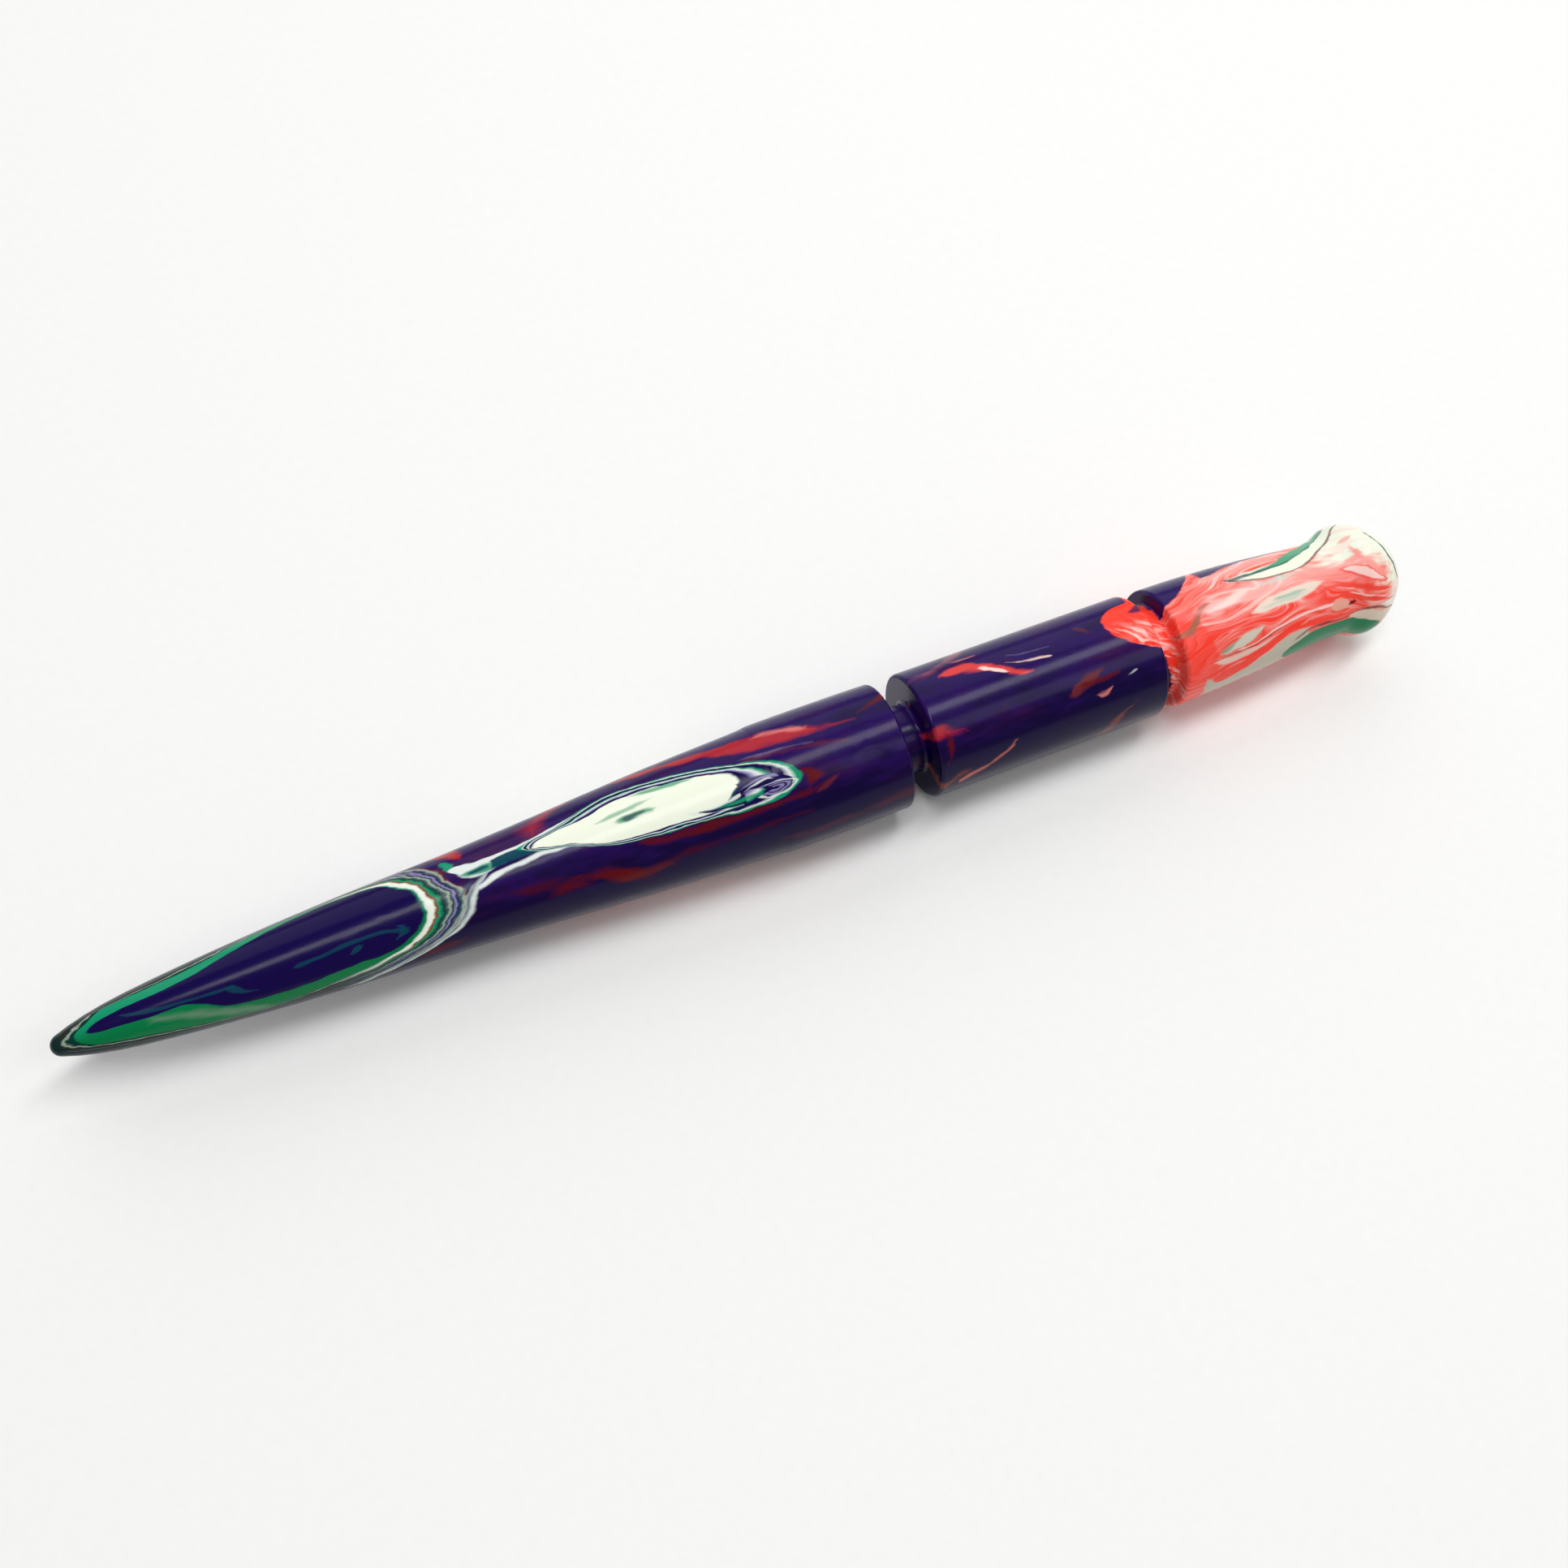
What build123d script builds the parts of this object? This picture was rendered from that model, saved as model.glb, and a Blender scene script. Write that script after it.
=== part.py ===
from build123d import *
import os
from math import cos, radians, sin

# A dip pen holder turned from one rod of swirled resin, lying on its side, with a steel nib insert
# glued into its front end. Millimetres. +X runs along the pen to the nib end and +Z is up. The
# origin is under the middle of the pen, on the surface that it lies on.

# Stations along the pen, counted from the tip of the tail
PEN_LENGTH = 134.4
TAIL_END = 78.3
BARREL_START = 81.0
BARREL_END = 105.7
GRIP_START = 107.9

# Radii of the turned body
TAIL_BULGE_RADIUS = 6.3
TAIL_END_RADIUS = 6.26
BARREL_RADIUS = 6.25
GRIP_BACK_RADIUS = 6.1
FLARE_RADIUS = 5.84
FACE_RADIUS = 3.9
TAIL_TIP_RADIUS = 1.0
TAIL_TIP_SLOPE = 20.8
REAR_GROOVE_RADIUS = 3.4
FRONT_GROOVE_RADIUS = 4.5
EDGE_ROUND = 0.35
GROOVE_CORNER_ROUND = 0.45

# Outline points that the splines pass through: (station, radius)
TAIL_POINTS = [
    (3.8, 1.86), (9.0, 2.65), (18.2, 3.51), (26.3, 4.03), (34.7, 4.37),
    (46.2, 5.08), (56.6, 5.76), (65.0, 6.16),
]
BULGE_POINT = (73.0, TAIL_BULGE_RADIUS)
GRIP_POINTS = [(112.8, 6.0), (117.5, 5.75), (122.3, 5.35)]
WAIST_POINT = (127.7, 5.0)
FLARE_POINT = (130.9, FLARE_RADIUS)
NOSE_CONTROLS = [(132.0, FLARE_RADIUS), (133.3, 4.95)]

# Nib insert: a thin sleeve, and inside it a ring with four spring petals
BORE_RADIUS = 3.75
BORE_DEPTH = 17.0
DRILL_POINT_DEPTH = 2.2
GLUE_GAP = 0.01
SLEEVE_LENGTH = 16.0
SLEEVE_WALL = 0.3
SLEEVE_RECESS = 0.1
RING_LENGTH = 3.0
RING_HOLE_RADIUS = 1.6
PRESS_GAP = 0.01
PETAL_COUNT = 4
PETAL_SPAN = 64.0
PETAL_THICKNESS = 0.3
PETAL_SLEEVE_GAP = 0.1
PETAL_ROOT_GAP = 0.08
PETAL_TIP_RECESS = 1.2
PETAL_TIP_ROUND = 1.2
CUT_OVERSHOOT = 1.0

# Worked out from the sizes above
AXIS_HEIGHT = TAIL_BULGE_RADIUS
FACE_X = PEN_LENGTH / 2
SLEEVE_OUTER = BORE_RADIUS - GLUE_GAP
SLEEVE_INNER = SLEEVE_OUTER - SLEEVE_WALL
SLEEVE_FRONT_X = FACE_X - SLEEVE_RECESS
SLEEVE_BACK_X = SLEEVE_FRONT_X - SLEEVE_LENGTH
RING_FRONT_X = SLEEVE_BACK_X + RING_LENGTH
PETAL_OUTER = SLEEVE_INNER - PETAL_SLEEVE_GAP
PETAL_INNER = PETAL_OUTER - PETAL_THICKNESS
PETAL_BACK_X = RING_FRONT_X + PETAL_ROOT_GAP
PETAL_FRONT_X = SLEEVE_FRONT_X - PETAL_TIP_RECESS


def outline_point(station, radius):
    """A point of the half outline, which is drawn in the XY plane, with the pen's axis along X."""
    return (station - PEN_LENGTH / 2, radius)


def lift(solid):
    """Move a solid made about the X axis up to the height of the pen's axis."""
    return Pos(0, 0, AXIS_HEIGHT) * solid


def axial_tube(outer, inner, back_x, front_x):
    """A tube about the X axis between two X positions."""
    plane = Plane(origin=(back_x, 0, 0), x_dir=(0, 1, 0), z_dir=(1, 0, 0))
    ring = Circle(outer) - Circle(inner)
    return extrude(plane * ring, front_x - back_x)


def tail_outline():
    """The closed half profile of the long, slightly hollow-sided tail."""
    slope = radians(TAIL_TIP_SLOPE)
    tip_edge = outline_point(TAIL_TIP_RADIUS * (1 - sin(slope)), TAIL_TIP_RADIUS * cos(slope))
    end_edge = outline_point(TAIL_END - EDGE_ROUND, TAIL_END_RADIUS)
    tip = RadiusArc(outline_point(0, 0), tip_edge, TAIL_TIP_RADIUS)
    side = Spline(
        [tip_edge]
        + [outline_point(*point) for point in TAIL_POINTS]
        + [outline_point(*BULGE_POINT)],
        tangents=[(cos(slope), sin(slope)), (1, 0)],
    )
    bulge = TangentArc(outline_point(*BULGE_POINT), end_edge, tangent=(1, 0))
    rim = RadiusArc(end_edge, outline_point(TAIL_END, TAIL_END_RADIUS - EDGE_ROUND), EDGE_ROUND)
    back = Polyline(
        outline_point(TAIL_END, TAIL_END_RADIUS - EDGE_ROUND),
        outline_point(TAIL_END, 0),
        outline_point(0, 0),
    )
    return make_face(tip + side + bulge + rim + back)


def groove_outline(start, end, floor_radius):
    """The neck that joins two sections of the pen, with its corners filled by a small cove."""
    corner = GROOVE_CORNER_ROUND
    left_cove = RadiusArc(
        outline_point(start, floor_radius + corner), outline_point(start + corner, floor_radius), -corner
    )
    floor = Line(outline_point(start + corner, floor_radius), outline_point(end - corner, floor_radius))
    right_cove = RadiusArc(
        outline_point(end - corner, floor_radius), outline_point(end, floor_radius + corner), -corner
    )
    inside = Polyline(
        outline_point(end, floor_radius + corner),
        outline_point(end, 0),
        outline_point(start, 0),
        outline_point(start, floor_radius + corner),
    )
    return make_face(left_cove + floor + right_cove + inside)


def barrel_outline():
    """The short straight barrel, with both rims rounded."""
    start, end, edge = BARREL_START, BARREL_END, EDGE_ROUND
    shoulder = BARREL_RADIUS - edge
    left_rim = RadiusArc(outline_point(start, shoulder), outline_point(start + edge, BARREL_RADIUS), edge)
    side = Line(outline_point(start + edge, BARREL_RADIUS), outline_point(end - edge, BARREL_RADIUS))
    right_rim = RadiusArc(outline_point(end - edge, BARREL_RADIUS), outline_point(end, shoulder), edge)
    inside = Polyline(
        outline_point(end, shoulder),
        outline_point(end, 0),
        outline_point(start, 0),
        outline_point(start, shoulder),
    )
    return make_face(left_rim + side + right_rim + inside)


def grip_outline():
    """The hollow-sided grip, from its rounded back rim to the flared nose."""
    start, edge = GRIP_START, EDGE_ROUND
    shoulder = GRIP_BACK_RADIUS - edge
    back_rim = RadiusArc(outline_point(start, shoulder), outline_point(start + edge, GRIP_BACK_RADIUS), edge)
    side = Spline(
        [outline_point(start + edge, GRIP_BACK_RADIUS)]
        + [outline_point(*point) for point in GRIP_POINTS]
        + [outline_point(*WAIST_POINT)],
        tangents=[(1, 0), (1, 0)],
    )
    flare = Spline(
        outline_point(*WAIST_POINT),
        outline_point(*FLARE_POINT),
        tangents=[(1, 0), (1, 0)],
    )
    nose = Bezier(
        outline_point(*FLARE_POINT),
        *[outline_point(*point) for point in NOSE_CONTROLS],
        outline_point(PEN_LENGTH, FACE_RADIUS),
    )
    inside = Polyline(
        outline_point(PEN_LENGTH, FACE_RADIUS),
        outline_point(PEN_LENGTH, 0),
        outline_point(start, 0),
        outline_point(start, shoulder),
    )
    return make_face(back_rim + side + flare + nose + inside)


def bore_cutter():
    """The drilled hole for the nib insert, with the drill's cone at its bottom."""
    bottom_x = FACE_X - BORE_DEPTH
    outline = Polyline(
        (bottom_x - DRILL_POINT_DEPTH, 0),
        (bottom_x, BORE_RADIUS),
        (FACE_X + CUT_OVERSHOOT, BORE_RADIUS),
        (FACE_X + CUT_OVERSHOOT, 0),
        close=True,
    )
    return revolve(make_face(outline), Axis.X)


def make_holder_body():
    """The resin body: tail, barrel and grip, joined by the floors of two turned grooves."""
    sections = [
        tail_outline(),
        groove_outline(TAIL_END, BARREL_START, REAR_GROOVE_RADIUS),
        barrel_outline(),
        groove_outline(BARREL_END, GRIP_START, FRONT_GROOVE_RADIUS),
        grip_outline(),
    ]
    body = revolve(sections[0], Axis.X)
    for section in sections[1:]:
        body = body + revolve(section, Axis.X)
    return lift(body - bore_cutter())


def make_nib_sleeve():
    """The thin steel tube that lines the bore."""
    return lift(axial_tube(SLEEVE_OUTER, SLEEVE_INNER, SLEEVE_BACK_X, SLEEVE_FRONT_X))


def make_crown_ring():
    """The ring at the bottom of the sleeve, with a hole for a tubular crow-quill nib."""
    return lift(axial_tube(SLEEVE_INNER - PRESS_GAP, RING_HOLE_RADIUS, SLEEVE_BACK_X, RING_FRONT_X))


def make_petal(angle):
    """One spring petal: a strip of tube wall with a rounded tip, centred on an angle about the axis."""
    shell = axial_tube(PETAL_OUTER, PETAL_INNER, PETAL_BACK_X, PETAL_FRONT_X)
    half_width = PETAL_OUTER * sin(radians(PETAL_SPAN / 2))
    strip = RectangleRounded(2 * (PETAL_FRONT_X - PETAL_BACK_X), 2 * half_width, PETAL_TIP_ROUND)
    petal = shell & extrude(Pos(PETAL_BACK_X, 0) * strip, PETAL_OUTER + CUT_OVERSHOOT)
    return lift(petal.rotate(Axis.X, angle))


os.makedirs("parts", exist_ok=True)
export_step(make_holder_body(), "parts/holder_body.step")
export_step(make_nib_sleeve(), "parts/nib_sleeve.step")
export_step(make_crown_ring(), "parts/crown_ring.step")
for number in range(PETAL_COUNT):
    petal = make_petal(number * 360 / PETAL_COUNT)
    export_step(petal, f"parts/petal_{number + 1}.step")
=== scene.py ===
import bpy
from math import atan2, degrees, hypot, radians
from mathutils import Matrix, Vector


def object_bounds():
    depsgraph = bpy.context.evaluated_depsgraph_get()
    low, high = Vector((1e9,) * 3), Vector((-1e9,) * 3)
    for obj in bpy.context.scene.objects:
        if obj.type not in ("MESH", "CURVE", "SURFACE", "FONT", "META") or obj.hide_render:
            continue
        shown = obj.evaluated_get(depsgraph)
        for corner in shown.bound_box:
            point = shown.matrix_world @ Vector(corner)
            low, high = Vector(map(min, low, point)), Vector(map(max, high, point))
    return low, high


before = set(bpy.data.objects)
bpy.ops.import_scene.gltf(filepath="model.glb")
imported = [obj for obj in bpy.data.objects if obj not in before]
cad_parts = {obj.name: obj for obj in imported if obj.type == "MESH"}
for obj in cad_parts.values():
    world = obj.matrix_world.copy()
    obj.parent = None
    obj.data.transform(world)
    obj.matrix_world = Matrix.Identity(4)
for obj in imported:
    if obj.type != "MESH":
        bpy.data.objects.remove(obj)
cad_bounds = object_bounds()

# Sizes are in millimetres, and MM turns them into Blender's metres. Only the lights' sizes and
# distances are in metres. A station is a distance along the pen from the tip of its tail.
MM = 0.001
PEN_LENGTH = (cad_bounds[1][0] - cad_bounds[0][0]) / MM
AXIS_HEIGHT = (cad_bounds[0][2] + cad_bounds[1][2]) / 2 / MM
DEGREES_PER_MM = 9.2    # what a millimetre of arc is round the barrel


# ---------------------------------------------------------------- colours

def shade(red, green, blue):
    """A display colour, 0 to 255 a channel, as the linear colour that shaders use."""
    channels = []
    for value in (red, green, blue):
        value = value / 255
        channels.append(value / 12.92 if value <= 0.04045 else ((value + 0.055) / 1.055) ** 2.4)
    return (*channels, 1.0)


PURPLE = shade(36, 9, 84)
NAVY = shade(18, 3, 68)
PLUM = shade(50, 12, 72)
GREEN = shade(0, 118, 66)
DEEP_GREEN = shade(3, 52, 44)
TEAL = shade(18, 146, 106)
DARK_TEAL = shade(10, 66, 86)
CREAM = shade(238, 244, 225)
WHITE = shade(222, 230, 226)
LILAC = shade(140, 132, 180)
PINK = shade(250, 150, 142)
PALE_PINK = shade(252, 214, 206)
CORAL = shade(246, 72, 58)
BRIGHT_CORAL = shade(255, 62, 46)
DARK_RED = shade(96, 10, 14)
MAROON = shade(104, 34, 42)
BROWN = shade(128, 58, 42)
EMBER = shade(176, 36, 44)
TIP_GREEN = shade(2, 40, 40)
GREY = shade(160, 172, 158)
SLATE = shade(70, 90, 96)
UMBER = shade(58, 30, 24)
SAGE = shade(150, 190, 168)
EMERALD = shade(24, 126, 82)
MIST = shade(176, 188, 186)
WISP_RED = shade(222, 66, 60)
CLAY = shade(200, 112, 96)
ROSE = shade(214, 120, 112)
SALMON = shade(252, 118, 108)
JADE = shade(70, 160, 122)
PALE_GREEN = shade(196, 216, 206)
IVORY = shade(238, 222, 206)
PALE_SAGE = shade(196, 204, 186)
STONE = shade(206, 206, 188)
OLIVE = shade(140, 146, 126)
TAN = shade(156, 104, 84)
BRICK = shade(186, 90, 78)
SHELL = shade(228, 206, 190)
SAND = shade(194, 192, 172)
WHEAT = shade(222, 212, 190)
PEACH = shade(236, 170, 150)
INDIGO = shade(26, 10, 62)
MULBERRY = shade(76, 26, 80)
PAINTED_SHADE_NAVY = shade(10, 1, 46)


# ---------------------------------------------------------------- shader arithmetic

class Nodes:
    """Builds one material's node tree. Values are sockets or plain numbers."""

    def __init__(self, name):
        self.material = bpy.data.materials.new(name)
        self.material.use_nodes = True
        self.tree = self.material.node_tree
        self.shader = self.tree.nodes["Principled BSDF"]

    def put(self, socket, value):
        if isinstance(value, bpy.types.NodeSocket):
            self.tree.links.new(value, socket)
        else:
            socket.default_value = value

    def calc(self, operation, *values):
        node = self.tree.nodes.new("ShaderNodeMath")
        node.operation = operation
        for socket, value in zip(node.inputs, values):
            self.put(socket, value)
        return node.outputs[0]

    def spread(self, value, low, high, to_low, to_high, kind="LINEAR"):
        """Map one range to another. A linear one goes on beyond its ends, a smooth one stops there."""
        node = self.tree.nodes.new("ShaderNodeMapRange")
        node.clamp = False
        node.interpolation_type = kind
        for socket, number in zip(node.inputs, (value, low, high, to_low, to_high)):
            self.put(socket, number)
        return node.outputs[0]

    def noise(self, vector, scale, detail=2.0, roughness=0.5, distortion=0.0):
        node = self.tree.nodes.new("ShaderNodeTexNoise")
        self.put(node.inputs["Vector"], vector)
        node.inputs["Scale"].default_value = scale
        node.inputs["Detail"].default_value = detail
        node.inputs["Roughness"].default_value = roughness
        node.inputs["Distortion"].default_value = distortion
        return node.outputs["Fac"]

    def combine(self, x, y, z):
        node = self.tree.nodes.new("ShaderNodeCombineXYZ")
        for socket, value in zip(node.inputs, (x, y, z)):
            self.put(socket, value)
        return node.outputs[0]

    def blend(self, factor, first, second):
        node = self.tree.nodes.new("ShaderNodeMix")
        node.data_type = "RGBA"
        self.put(node.inputs["Factor"], factor)
        self.put(node.inputs["A"], first)
        self.put(node.inputs["B"], second)
        return node.outputs["Result"]

    def ramp(self, value, stops):
        node = self.tree.nodes.new("ShaderNodeValToRGB")
        self.put(node.inputs[0], value)
        elements = node.color_ramp.elements
        elements[0].position, elements[0].color = stops[0]
        elements[1].position, elements[1].color = stops[-1]
        for position, colour in stops[1:-1]:
            elements.new(position).color = colour
        return node.outputs[0]

    def curve(self, value, points):
        """A smooth curve through (input, output) points, level beyond its ends."""
        inputs = [point[0] for point in points]
        outputs = [point[1] for point in points]
        low, high = min(outputs), max(outputs)
        if high - low < 1e-6:
            return low
        share = self.spread(value, inputs[0], inputs[-1], 0.0, 1.0)
        node = self.tree.nodes.new("ShaderNodeFloatCurve")
        node.mapping.extend = "HORIZONTAL"
        self.put(node.inputs["Value"], share)
        handles = node.mapping.curves[0].points
        span = inputs[-1] - inputs[0]
        spots = [((x - inputs[0]) / span, (y - low) / (high - low)) for x, y in points]
        handles[0].location = spots[0]
        handles[1].location = spots[-1]
        for spot in spots[1:-1]:
            handles.new(*spot)
        for handle in handles:
            handle.handle_type = "AUTO_CLAMPED"
        node.mapping.update()
        return self.calc("MULTIPLY_ADD", node.outputs[0], high - low, low)


# How far the currents in the resin bend its lines, and how ragged they leave the edges
WAVER_DEGREES = 2.6
DRIFT_MM = 0.22
FRAY = 0.3


class Swirl(Nodes):
    """Resin colours laid out along the pen (station, mm) and round it (angle, degrees).

    The angle is 0 on top and grows towards +Y. Each shape gives a field that is positive inside."""

    def __init__(self, name):
        super().__init__(name)
        position = self.tree.nodes.new("ShaderNodeNewGeometry").outputs["Position"]
        split = self.tree.nodes.new("ShaderNodeSeparateXYZ")
        self.put(split.inputs[0], position)
        x, y, z = split.outputs
        self.x = self.calc("MULTIPLY_ADD", x, 1 / MM, PEN_LENGTH / 2)
        self.y = self.calc("MULTIPLY", y, 1 / MM)
        self.z = self.calc("MULTIPLY_ADD", z, 1 / MM, -AXIS_HEIGHT)
        self.around = self.calc("DEGREES", self.calc("ARCTAN2", self.y, self.z))
        self.flow = self.stretched(0.35)
        waver = self.noise(self.flow, 0.55, 3.0, 0.55)
        sideways = self.combine(self.y, self.z, self.calc("MULTIPLY", self.x, 0.5))
        drift = self.noise(sideways, 0.7, 3.0, 0.55)
        turn = self.spread(waver, 0.2, 0.8, -WAVER_DEGREES, WAVER_DEGREES)
        self.angle = self.calc("ADD", self.around, turn)
        shift = self.spread(drift, 0.2, 0.8, -DRIFT_MM, DRIFT_MM)
        self.station = self.calc("ADD", self.x, shift)
        strings = self.noise(self.stretched(0.3), 1.3, 1.5, 0.5)
        self.fray = self.spread(strings, 0.3, 0.7, -FRAY, FRAY)
        self.colour = PURPLE

    def stretched(self, share):
        """The place in the pen, with its length cut to a share, so that a noise is drawn out along it."""
        return self.combine(self.calc("MULTIPLY", self.x, share), self.y, self.z)

    def gap(self, first, second):
        """How far apart two values are."""
        return self.calc("ABSOLUTE", self.calc("SUBTRACT", first, second))

    def within(self, edge, distance, reach):
        """A field that is positive inside an outline, in degrees."""
        return self.calc("MULTIPLY", self.calc("SUBTRACT", edge, distance), reach[1])

    def way_out(self, distance, inner, outer):
        """0 at the inner outline and 1 at the outer one."""
        from_inner = self.calc("SUBTRACT", distance, inner)
        return self.calc("DIVIDE", from_inner, self.calc("SUBTRACT", outer, inner))

    def paint(self, field, colour, soft=2.0, strength=1.0):
        """Lay a colour where the field is positive. The edge is soft by an amount in the field's units."""
        frayed = self.calc("MULTIPLY_ADD", self.fray, soft, field)
        cover = self.spread(frayed, -soft / 2, soft / 2, 0.0, strength, "SMOOTHSTEP")
        self.colour = self.blend(cover, self.colour, colour)

    def between(self, lower, upper):
        """The region between two lines, each a list of (station, angle) points."""
        above = self.calc("SUBTRACT", self.angle, self.curve(self.station, lower))
        below = self.calc("SUBTRACT", self.curve(self.station, upper), self.angle)
        sides = self.calc("MINIMUM", above, below)
        return self.ended(sides, self.station, lower[0][0], lower[-1][0], DEGREES_PER_MM)

    def ended(self, field, along, start, end, scale):
        """A field cut off outside a stretch of one coordinate."""
        middle = self.gap(along, (start + end) / 2)
        ends = self.calc("MULTIPLY_ADD", middle, -scale, (end - start) / 2 * scale)
        return self.calc("MINIMUM", field, ends)

    def strand(self, points, steep=False):
        """A line of (station, angle, half width in degrees) points.

        A steep one runs round the pen, and its points are (angle, station, half width in mm)."""
        along, across = (self.angle, self.station) if steep else (self.station, self.angle)
        centre = self.curve(along, [(point[0], point[1]) for point in points])
        width = self.curve(along, [(point[0], point[2]) for point in points])
        away = self.gap(across, centre)
        scale = 1 / DEGREES_PER_MM if steep else DEGREES_PER_MM
        field = self.calc("SUBTRACT", width, away)
        return self.ended(field, along, points[0][0], points[-1][0], scale)

    def patch(self, lower, upper, colour, soft=2.0, strength=1.0):
        self.paint(self.between(lower, upper), colour, soft, strength)

    def line(self, points, colour, soft=2.0, strength=1.0):
        self.paint(self.strand(points), colour, soft, strength)

    def steep_line(self, points, colour, soft=0.3, strength=1.0):
        self.paint(self.strand(points, steep=True), colour, soft, strength)

    def polar(self, centre, reach):
        """Polar coordinates about a point: the direction in degrees, and the distance, 1 at the reach."""
        out_x = self.calc("MULTIPLY", self.calc("SUBTRACT", self.station, centre[0]), 1 / reach[0])
        turned = self.calc("WRAP", self.calc("SUBTRACT", self.angle, centre[1]), 180.0, -180.0)
        out_y = self.calc("MULTIPLY", turned, 1 / reach[1])
        direction = self.calc("DEGREES", self.calc("ARCTAN2", out_y, out_x))
        square_x = self.calc("MULTIPLY", out_x, out_x)
        square_y = self.calc("MULTIPLY", out_y, out_y)
        distance = self.calc("SQRT", self.calc("ADD", square_x, square_y))
        return direction, distance

    def outline(self, direction, centre, reach, points):
        """How far out a closed outline of (station, angle) points lies in each direction."""
        spots = []
        for station, angle in points:
            out_x = (station - centre[0]) / reach[0]
            out_y = (angle - centre[1]) / reach[1]
            spots.append((degrees(atan2(out_y, out_x)), hypot(out_x, out_y)))
        spots.sort()
        first, last = spots[0], spots[-1]
        gap = first[0] + 360 - last[0]
        seam = last[1] + (first[1] - last[1]) * (180 - last[0]) / gap
        return self.curve(direction, [(-180.0, seam)] + spots + [(180.0, seam)])


# ---------------------------------------------------------------- the tail

# Outlines are (station, angle) points, and each reach is (mm along the pen, degrees round it). Bands
# are (share of the way from the inner outline to the outer one, colour).
LEAF_CENTRE, LEAF_REACH = (22, -12), (10.6, 50)
LEAF_EDGE = [
    (32.6, -20), (32.5, -5), (32, 8), (31, 20), (30, 30), (28.5, 38), (26, 42), (24, 43), (22, 41),
    (20, 37), (18, 30), (16, 23), (14, 15), (12, 9), (9, 5), (5.5, 3), (4, -4), (3.4, -15),
    (4, -23), (6, -29), (9, -31), (12, -34), (13, -40), (14, -48), (15, -56), (17, -61), (20, -63),
    (22.5, -62), (24, -58), (26, -57), (28, -57), (30, -52), (31, -46), (32, -35),
]
LEAF_GREEN = [
    (32.9, -20), (32.7, -5), (32.1, 9), (31, 22), (30, 32), (28, 41), (25, 45), (22, 46), (20, 45),
    (17, 41), (15, 33), (13, 28), (10, 26), (7, 26), (5, 28), (4, 15), (2.9, 0), (2.3, -20),
    (2.5, -35), (3.2, -48), (5, -58), (8, -67), (11, -75), (14, -81), (18, -84), (22, -78),
    (25, -71), (28, -64), (30, -57), (31.6, -46), (32.6, -32),
]
LEAF_HALO = [
    (36.6, -18), (36.3, -30), (35.2, -45), (33.8, -57), (31.8, -67), (29.8, -77), (27.5, -86),
    (24, -94), (18, -98), (10, -100), (3, -90), (-3, -60), (-4, -12), (-3, 40), (3, 62), (8, 66),
    (15, 68), (22, 68), (28, 63), (31, 55), (33, 43), (34.2, 30), (34.9, 18), (35.4, 4),
]
LEAF_BANDS = [
    (0.0, WHITE), (0.16, CREAM), (0.24, BROWN), (0.32, TEAL), (0.42, DEEP_GREEN), (0.50, SLATE),
    (0.56, GREY), (0.63, DEEP_GREEN), (0.70, LILAC), (0.77, NAVY), (0.84, SLATE), (0.92, GREY),
    (1.0, MAROON),
]
LEAF_REAR_BANDS = [
    (0.0, DEEP_GREEN), (0.07, DEEP_GREEN), (0.12, GREY), (0.17, DEEP_GREEN), (0.27, UMBER),
    (0.34, DEEP_GREEN), (0.42, SLATE), (0.48, TIP_GREEN), (0.62, TIP_GREEN), (0.70, UMBER),
    (0.78, TIP_GREEN), (1.0, TIP_GREEN),
]
LEAF_BANDS_FADE_IN = (22, 31)
PAINTED_TIP = 1.1


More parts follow.
